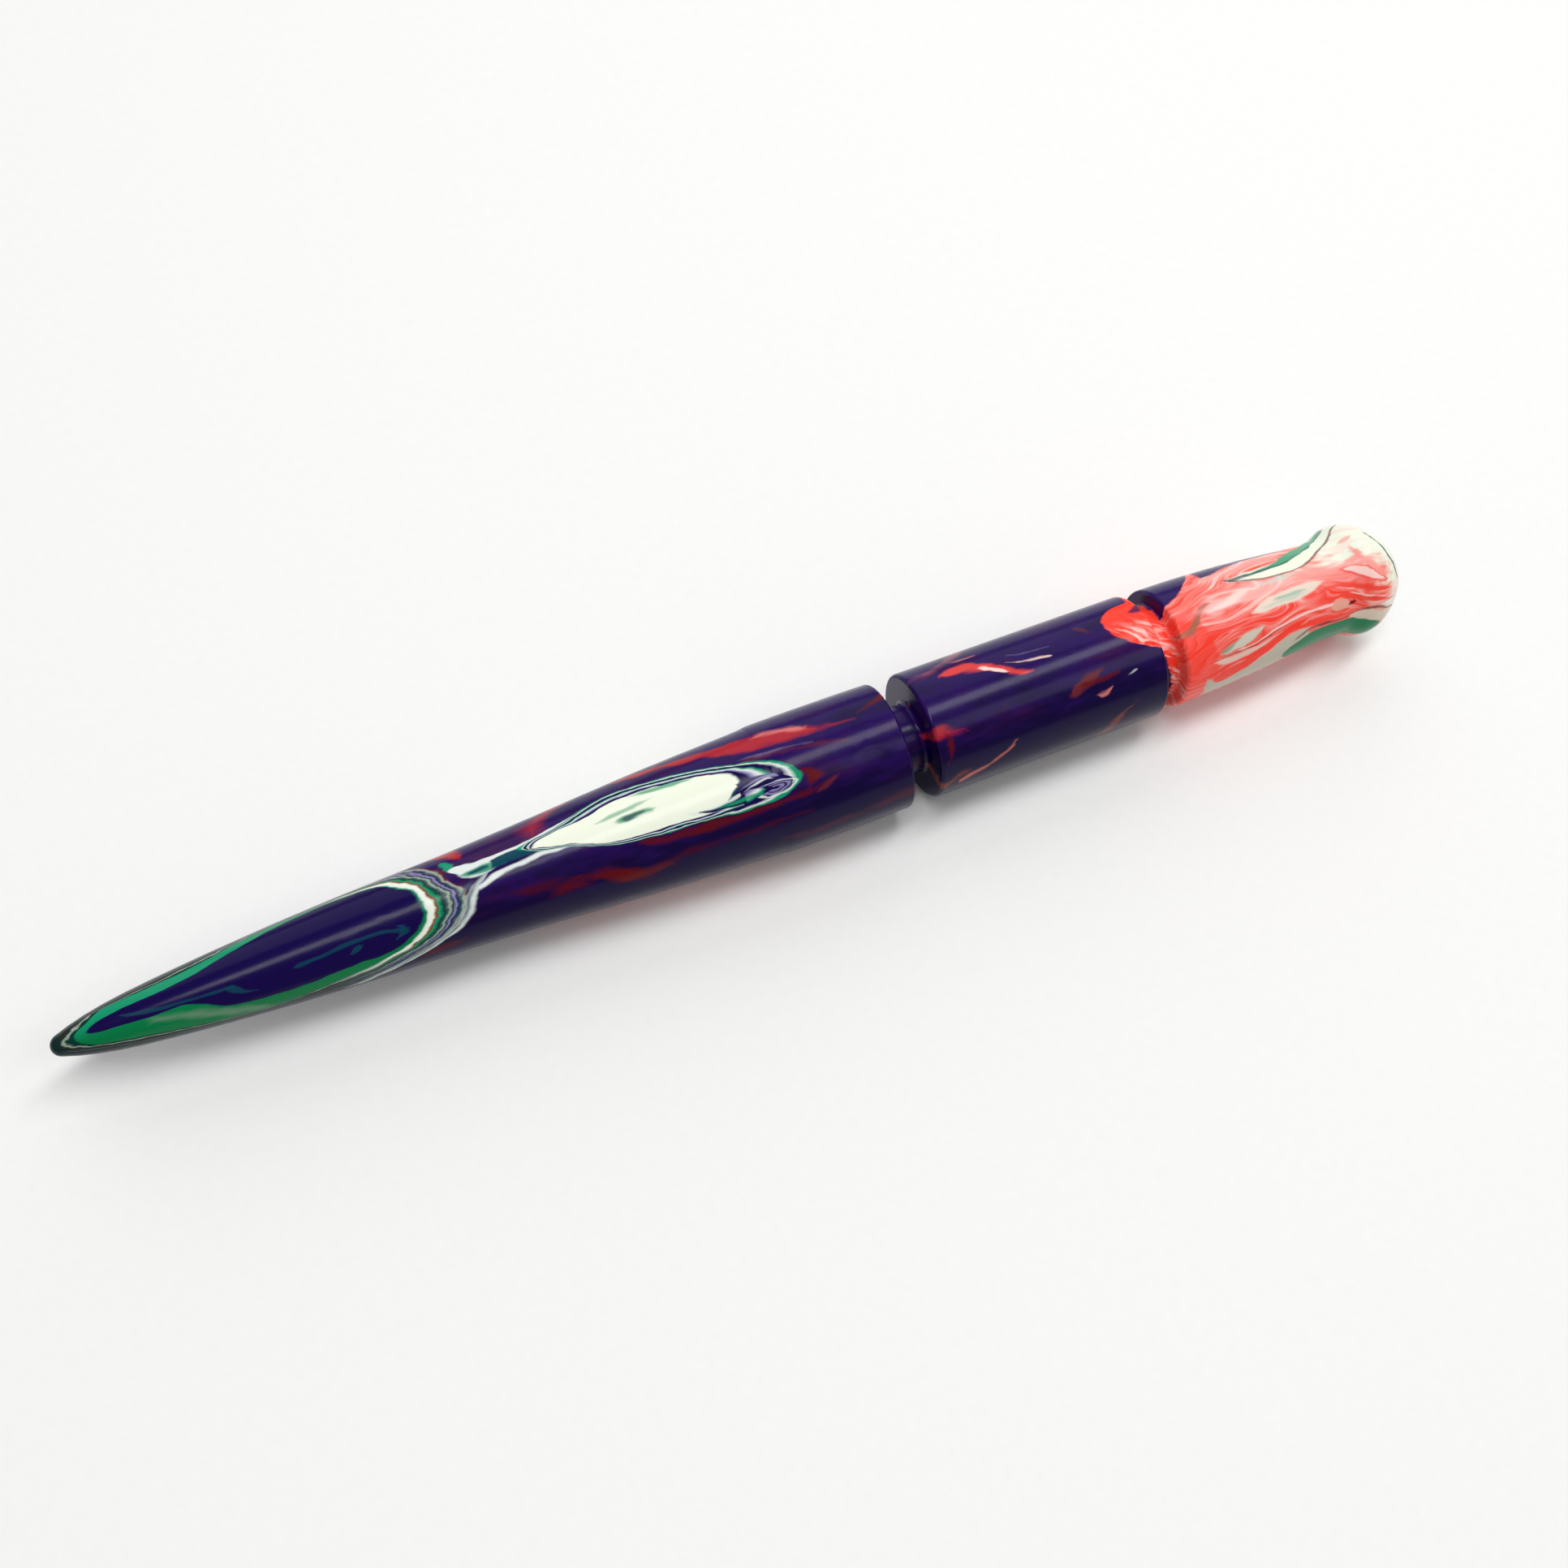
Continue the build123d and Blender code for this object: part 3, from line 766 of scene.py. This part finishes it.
def paint_flare(resin):
    """The coral eddy on the flare, a pale ellipse inside it, and small flecks."""
    resin.line(
        [(124, -29, 0), (126, -27, 2), (128, -33, 3.2), (129.6, -41, 3.2), (131, -46, 2.6),
         (132.3, -48, 0)],
        CORAL, 3, 0.95,
    )
    resin.line(
        [(126, -33, 0), (127.5, -42, 4), (129.4, -52, 3.4), (131, -57, 2), (132.6, -62, 0)],
        CORAL, 3, 0.9,
    )
    resin.line([(127.6, -38, 0), (129, -47, 0.8), (131, -54, 0.7), (132, -58, 0)], PALE_PINK, 1.5, 0.8)
    resin.line(
        [(126, -8, 0), (127.5, -9, 3), (129, -6, 3.5), (130, -9, 2.6), (131, -13, 0)],
        PINK, 4, 0.8,
    )
    resin.steep_line(
        [(-40, 131.4, 0), (-32, 131.2, 0.3), (-22, 130.7, 0.35), (-10, 130, 0.3), (0, 129.6, 0.2),
         (8, 129.4, 0)],
        PINK, 0.5, 0.8,
    )
    resin.line(
        [(127.4, -11, 0), (128.6, -17, 6), (130, -26, 7.6), (131, -34, 4.6), (131.7, -38, 0)],
        CORAL, 3, 0.75,
    )
    resin.line(
        [(127.8, -12, 0), (128.8, -17, 4), (130, -26, 5.5), (130.9, -33, 3), (131.3, -36, 0)],
        PALE_PINK, 2.5, 0.95,
    )
    resin.line([(125.4, -50, 0), (126.2, -49, 6.5), (127, -50, 6), (127.7, -54, 0)], PEACH, 2.5, 0.95)
    resin.line([(127.3, -52, 0), (127.8, -51.5, 2.2), (128.3, -52, 0)], DARK_RED, 2, 0.9)
    resin.line([(128.9, 20, 0), (129.6, 19, 3), (130.3, 21, 0)], PINK, 3, 0.7)
    resin.line([(129.2, 3, 0), (129.7, 1, 3), (130.2, -4, 0)], PINK, 3, 0.7)
    resin.steep_line(
        [(-52, 133.9, 0), (-40, 133.8, 0.1), (-25, 133.6, 0.18), (-10, 133.2, 0.18), (0, 132.9, 0.18),
         (10, 132.4, 0.16), (18, 132, 0.1), (24, 131.8, 0)],
        DEEP_GREEN, 0.25, 0.95,
    )


# ---------------------------------------------------------------- the back and the underside

def paint_far_side(resin):
    """Bands on the side that faces the table and the back, in the manner of the rest."""
    resin.patch(
        [(36, 92), (42, 84), (50, 80), (58, 88), (64, 108)],
        [(36, 96), (42, 122), (50, 138), (58, 132), (64, 112)],
        CREAM, 2, 1.0,
    )
    resin.patch(
        [(40, 102), (46, 98), (54, 100), (59, 108)],
        [(40, 104), (46, 112), (54, 118), (59, 112)],
        TEAL, 3, 0.9,
    )
    resin.patch([(43, 104), (48, 102), (55, 106)], [(43, 106), (48, 110), (55, 112)], NAVY, 2, 1.0)
    resin.line(
        [(30, 86, 0), (36, 90, 1.5), (42, 80, 1.6), (50, 75, 1.8), (58, 83, 1.8), (66, 108, 1.6),
         (74, 112, 0)],
        LILAC, 2, 0.9,
    )
    resin.line(
        [(33, 96, 0), (40, 124, 1.6), (50, 143, 1.8), (58, 137, 1.6), (66, 116, 1.5), (72, 110, 0)],
        TEAL, 2.4, 0.9,
    )
    resin.line(
        [(38, -140, 0), (46, -146, 5), (56, -138, 7), (66, -128, 4), (76, -124, 0)],
        CORAL, 6, 0.85,
    )
    resin.line([(48, -143, 0), (56, -139, 2.4), (64, -131, 0)], PALE_PINK, 3, 0.85)
    resin.line([(58, 160, 0), (66, 158, 4), (74, 150, 5), (78, 146, 3)], DARK_RED, 6, 0.9)
    resin.line([(81, 132, 3), (86, 126, 4.5), (91, 112, 4), (95, 104, 0)], CORAL, 4, 0.9)
    resin.line([(85, 128, 0), (90, 116, 1.6), (94, 106, 0)], PALE_PINK, 2, 0.9)
    resin.line(
        [(88, -128, 0), (93, -136, 3), (99, -132, 4), (104, -122, 3), (106, -118, 2)],
        MAROON, 4, 0.9,
    )
    resin.line([(84, 168, 0), (90, 162, 1.6), (97, 165, 1.8), (102, 160, 0)], LILAC, 2, 0.7)
    resin.patch(
        [(110, 112), (114, 104), (120, 104), (126, 116)],
        [(110, 116), (114, 128), (120, 132), (126, 120)],
        CREAM, 3, 0.95,
    )
    resin.patch(
        [(113, 114), (117, 110), (122, 114)],
        [(113, 116), (117, 122), (122, 118)],
        EMERALD, 3, 0.95,
    )
    resin.line([(109, 134, 0), (115, 138, 1.2), (122, 136, 1.4), (128, 124, 0)], MAROON, 2, 0.8)
    resin.patch(
        [(112, -160), (117, -164), (123, -158), (128, -146)],
        [(112, -154), (117, -142), (123, -138), (128, -142)],
        CREAM, 3, 0.95,
    )
    resin.line([(114, -152, 0), (119, -153, 4), (124, -148, 0)], SAGE, 4, 0.9)


# Painted shade: the purple under the other marks is painted near black on the side that faces the camera
# and the floor, away from the lights. The side of the pen that isn't darkened: the angle of its middle and
# how far it goes each way
LIT_MIDDLE = 70
LIT_REACH = 105
SHADOW_EDGE = 46
RESIN_ROUGHNESS = (0.15, 0.22)
RESIN_IOR = 1.5
RESIN_SPECULAR_LEVEL = 0.13


def resin_material():
    """The whole casting: clouded purple first, then painted shade over the side away from the lights, and
    then everything that floats in it.
    """
    resin = Swirl("swirled_resin")
    cloud = resin.noise(resin.flow, 0.35, 3.0, 0.6)
    resin.colour = resin.ramp(cloud, [(0.3, INDIGO), (0.5, PURPLE), (0.66, PLUM), (0.8, MULBERRY)])
    # Painted shade: a near-black navy over the purple on the front and lower side, outside the lit side
    painted_shade_side = resin.calc("SUBTRACT", resin.gap(resin.around, LIT_MIDDLE), LIT_REACH)
    resin.paint(painted_shade_side, PAINTED_SHADE_NAVY, SHADOW_EDGE, 0.85)
    paint_far_side(resin)
    paint_tail_embers(resin)
    paint_leaf(resin)
    paint_knot(resin)
    paint_teardrop(resin)
    paint_barrel(resin)
    paint_grip(resin)
    paint_flare(resin)
    resin.put(resin.shader.inputs["Base Color"], resin.colour)
    polish = resin.noise(resin.flow, 3.0, 4.0, 0.6)
    resin.put(resin.shader.inputs["Roughness"], resin.spread(polish, 0.3, 0.7, *RESIN_ROUGHNESS))
    resin.shader.inputs["IOR"].default_value = RESIN_IOR
    resin.shader.inputs["Specular IOR Level"].default_value = RESIN_SPECULAR_LEVEL
    return resin.material


# ---------------------------------------------------------------- the nib insert

STEEL_ROUGHNESS = (0.24, 0.42)
DRAWN_LINES_PER_METRE = 2600.0
BUMP_STRENGTH = 0.08
BUMP_DISTANCE = 0.03 * MM
LIGHTER = 30


def steel_material(name, tone, grain):
    """Steel with fine drawn lines along the pen. The tone is a display colour."""
    steel = Nodes(name)
    position = steel.tree.nodes.new("ShaderNodeNewGeometry").outputs["Position"]
    stretched = steel.tree.nodes.new("ShaderNodeMapping")
    steel.put(stretched.inputs["Vector"], position)
    stretched.inputs["Scale"].default_value = (grain, 1.0, 1.0)
    lines = steel.noise(stretched.outputs[0], DRAWN_LINES_PER_METRE, 4.0, 0.6)
    light_tone = [channel + LIGHTER for channel in tone]
    metal = steel.blend(lines, shade(*tone), shade(*light_tone))
    steel.put(steel.shader.inputs["Base Color"], metal)
    steel.put(steel.shader.inputs["Roughness"], steel.spread(lines, 0.3, 0.7, *STEEL_ROUGHNESS))
    steel.shader.inputs["Metallic"].default_value = 1.0
    bump = steel.tree.nodes.new("ShaderNodeBump")
    bump.inputs["Strength"].default_value = BUMP_STRENGTH
    bump.inputs["Distance"].default_value = BUMP_DISTANCE
    steel.put(bump.inputs["Height"], lines)
    steel.put(steel.shader.inputs["Normal"], bump.outputs[0])
    return steel.material


def dress(material, *nodes):
    """Put one material on CAD nodes."""
    for node in nodes:
        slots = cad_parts[node].data.materials
        slots.clear()
        slots.append(material)


PETALS = [node for node in sorted(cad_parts) if node.startswith("petal_")]

dress(resin_material(), "holder_body")
dress(steel_material("sleeve_steel", (186, 186, 182), grain=0.08), "nib_sleeve")
dress(steel_material("spring_steel", (166, 167, 170), grain=0.3), "crown_ring", *PETALS)


# ---------------------------------------------------------------- camera, floor and light

# The camera's focal length as a share of its sensor's width, its place, and the directions that are
# right and down in its picture
FOCAL_RATIO = 0.9627
SENSOR = 36.0
CAMERA_PLACE = (-31.43, -57.39, 132.63)
CAMERA_RIGHT = (0.91651, -0.39690, 0.04983)
CAMERA_DOWN = (-0.33231, -0.82479, -0.45749)
NEAREST_SEEN = 5.0 * MM
FLOOR_HALF = 1500.0 * MM
FLOOR_SHADES = [(0.86, 0.86, 0.85, 1), (0.9, 0.9, 0.89, 1)]
FLOOR_ROUGHNESS = 0.8
GRAIN_PER_METRE = 900.0
WORLD_STRENGTH = 0.27


def make_camera():
    lens = bpy.data.cameras.new("camera")
    lens.sensor_width = SENSOR
    lens.lens = FOCAL_RATIO * SENSOR
    lens.clip_start = NEAREST_SEEN
    camera = bpy.data.objects.new("camera", lens)
    bpy.context.collection.objects.link(camera)
    right = Vector(CAMERA_RIGHT).normalized()
    up = -Vector(CAMERA_DOWN).normalized()
    back = right.cross(up)
    turn = Matrix((right, up, back)).transposed().to_4x4()
    camera.matrix_world = Matrix.Translation(Vector(CAMERA_PLACE) * MM) @ turn
    bpy.context.scene.camera = camera


def make_floor():
    mesh = bpy.data.meshes.new("floor")
    corners = [(-1, -1), (1, -1), (1, 1), (-1, 1)]
    mesh.from_pydata([(x * FLOOR_HALF, y * FLOOR_HALF, 0) for x, y in corners], [], [(0, 1, 2, 3)])
    floor = bpy.data.objects.new("floor", mesh)
    bpy.context.collection.objects.link(floor)
    paper = Nodes("floor_paper")
    position = paper.tree.nodes.new("ShaderNodeNewGeometry").outputs["Position"]
    grain = paper.noise(position, GRAIN_PER_METRE, 3.0, 0.6)
    paper.put(paper.shader.inputs["Base Color"], paper.blend(grain, *FLOOR_SHADES))
    paper.shader.inputs["Roughness"].default_value = FLOOR_ROUGHNESS
    mesh.materials.append(paper.material)


def make_light(name, direction, distance, size, power, twist=0.0):
    """A soft box that faces the pen from a direction. Its distance and size are in metres.

    The first side of the size lies along the pen, before the twist, which is in degrees."""
    lamp = bpy.data.lights.new(name, "AREA")
    lamp.shape = "RECTANGLE"
    lamp.size, lamp.size_y = size
    lamp.energy = power
    light = bpy.data.objects.new(name, lamp)
    bpy.context.collection.objects.link(light)
    back = Vector(direction).normalized()
    along = (Vector((1, 0, 0)) - back * back.x).normalized()
    across = back.cross(along)
    turn = Matrix((along, across, back)).transposed().to_4x4()
    spin = Matrix.Rotation(radians(twist), 4, "Z")
    light.matrix_world = Matrix.Translation(back * distance) @ turn @ spin


def make_world():
    world = bpy.data.worlds.new("studio")
    world.use_nodes = True
    background = world.node_tree.nodes["Background"]
    background.inputs["Color"].default_value = (1, 1, 1, 1)
    background.inputs["Strength"].default_value = WORLD_STRENGTH
    bpy.context.scene.world = world


make_camera()
make_floor()
make_world()
make_light("key", direction=(0.12, 0.04, 1.0), distance=0.7, size=(0.95, 0.14), power=3.6, twist=18)
make_light("far", direction=(0.10, 0.8, 0.62), distance=0.7, size=(0.9, 0.6), power=1.6)
make_light("near", direction=(0.6, -0.42, 0.8), distance=0.75, size=(0.5, 0.24), power=0.8)
bpy.context.scene.view_settings.view_transform = "Standard"
